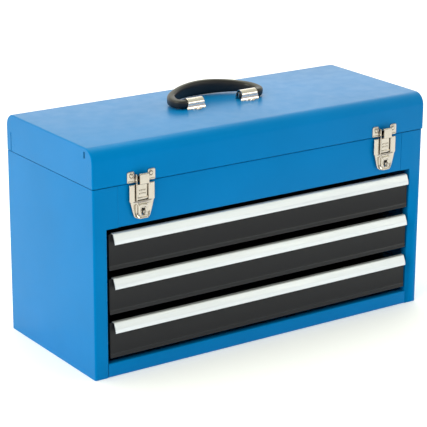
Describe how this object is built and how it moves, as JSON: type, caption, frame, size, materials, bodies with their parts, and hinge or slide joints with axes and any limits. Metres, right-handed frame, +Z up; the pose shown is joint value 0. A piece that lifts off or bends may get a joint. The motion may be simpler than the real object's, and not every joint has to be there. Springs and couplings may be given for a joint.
{
  "type": "portable tool chest",
  "caption": "Portable sheet-steel tool chest: hinged lid with carry handle and draw latches over a top compartment and a stack of sliding drawers.",
  "frame": {"origin": "centre of the case's underside, on the surface it stands on", "axes": "+X to the user's right along the chest's width, +Y to the back, +Z up"},
  "size_m": [0.514, 0.2308, 0.3159],
  "materials": {
    "blue_paint": "satin powder coat",
    "charcoal_paint": "satin powder coat, faint grain",
    "satin_aluminium": "satin anodised",
    "nickel": "bright warm nickel plate",
    "zinc": "zinc plate",
    "black_grip": "moulded, semi-matt"
  },
  "bodies": {
    "case": {"bottom_pan": "blue_paint", "side_panel_left": "blue_paint", "side_panel_right": "blue_paint", "back_panel": "blue_paint", "front_panel": "blue_paint", "compartment_floor": "blue_paint", "hinge_leaf_case": "blue_paint", "hinge_pin": "zinc", "latch_base_left": "nickel", "latch_base_right": "nickel", "latch_base_rivets": "nickel", "lever_rivets_left": "nickel", "lever_rivets_right": "nickel", "stay_studs": "zinc", "slide_rail_left_1": "zinc", "slide_rail_left_2": "zinc", "slide_rail_left_3": "zinc", "slide_rail_right_1": "zinc", "slide_rail_right_2": "zinc", "slide_rail_right_3": "zinc"},
    "lid": {"lid_shell": "blue_paint", "lid_end_left": "blue_paint", "lid_end_right": "blue_paint", "hinge_leaf_lid": "blue_paint", "keeper_left": "nickel", "keeper_right": "nickel", "keeper_rivets": "nickel", "handle_clip_left": "nickel", "handle_clip_right": "nickel", "handle_rivets": "nickel", "handle_plate": "zinc", "stay_pivots": "zinc"},
    "handle": {"handle_grip": "black_grip", "handle_core": "zinc"},
    "lever_left": {"lever_left": "nickel", "hook_pin_left": "nickel"},
    "hook_left": {"hook_left": "nickel"},
    "stay_left": {"stay_left": "zinc"},
    "lever_right": {"lever_right": "nickel", "hook_pin_right": "nickel"},
    "hook_right": {"hook_right": "nickel"},
    "stay_right": {"stay_right": "zinc"},
    "drawer_1": {"drawer_tray_1": "charcoal_paint", "drawer_front_1": "charcoal_paint", "drawer_pull_1": "satin_aluminium", "drawer_runner_left_1": "zinc", "drawer_runner_right_1": "zinc"},
    "drawer_2": {"drawer_tray_2": "charcoal_paint", "drawer_front_2": "charcoal_paint", "drawer_pull_2": "satin_aluminium", "drawer_runner_left_2": "zinc", "drawer_runner_right_2": "zinc"},
    "drawer_3": {"drawer_tray_3": "charcoal_paint", "drawer_front_3": "charcoal_paint", "drawer_pull_3": "satin_aluminium", "drawer_runner_left_3": "zinc", "drawer_runner_right_3": "zinc"}
  },
  "joints": [
    {"name": "lid_hinge", "type": "hinge", "parent": "case", "child": "lid", "pos_m": [0, 0.10915, 0.2463], "axis": [-1, 0, 0], "range_deg": [0, 88]},
    {"name": "handle_pivot", "type": "hinge", "parent": "lid", "child": "handle", "pos_m": [0, -0.002, 0.3013], "axis": [1, 0, 0], "range_deg": [0, 170]},
    {"name": "lever_left_pivot", "type": "hinge", "parent": "case", "child": "lever_left", "pos_m": [-0.189, -0.1099, 0.242], "axis": [-1, 0, 0], "range_deg": [0, 90]},
    {"name": "hook_left_pivot", "type": "hinge", "parent": "lever_left", "child": "hook_left", "pos_m": [-0.189, -0.1101, 0.2265], "axis": [1, 0, 0], "range_deg": [0, 90]},
    {"name": "stay_left_pivot", "type": "hinge", "parent": "lid", "child": "stay_left", "pos_m": [-0.2526, 0.08765, 0.28354], "axis": [1, 0, 0], "range_deg": [0, 44]},
    {"name": "lever_right_pivot", "type": "hinge", "parent": "case", "child": "lever_right", "pos_m": [0.189, -0.1099, 0.242], "axis": [-1, 0, 0], "range_deg": [0, 90]},
    {"name": "hook_right_pivot", "type": "hinge", "parent": "lever_right", "child": "hook_right", "pos_m": [0.189, -0.1101, 0.2265], "axis": [1, 0, 0], "range_deg": [0, 90]},
    {"name": "stay_right_pivot", "type": "hinge", "parent": "lid", "child": "stay_right", "pos_m": [0.2526, 0.08765, 0.28354], "axis": [1, 0, 0], "range_deg": [0, 44]},
    {"name": "drawer_1_slide", "type": "slide", "parent": "case", "child": "drawer_1", "axis": [0, -1, 0], "range_m": [0, 0.15]},
    {"name": "drawer_2_slide", "type": "slide", "parent": "case", "child": "drawer_2", "axis": [0, -1, 0], "range_m": [0, 0.15]},
    {"name": "drawer_3_slide", "type": "slide", "parent": "case", "child": "drawer_3", "axis": [0, -1, 0], "range_m": [0, 0.15]}
  ],
  "couplings": [
    {"joint": "hook_left_pivot", "follows": "lever_left_pivot", "ratio": 1},
    {"joint": "stay_left_pivot", "follows": "lid_hinge", "ratio": 0.5},
    {"joint": "hook_right_pivot", "follows": "lever_right_pivot", "ratio": 1},
    {"joint": "stay_right_pivot", "follows": "lid_hinge", "ratio": 0.5}
  ]
}
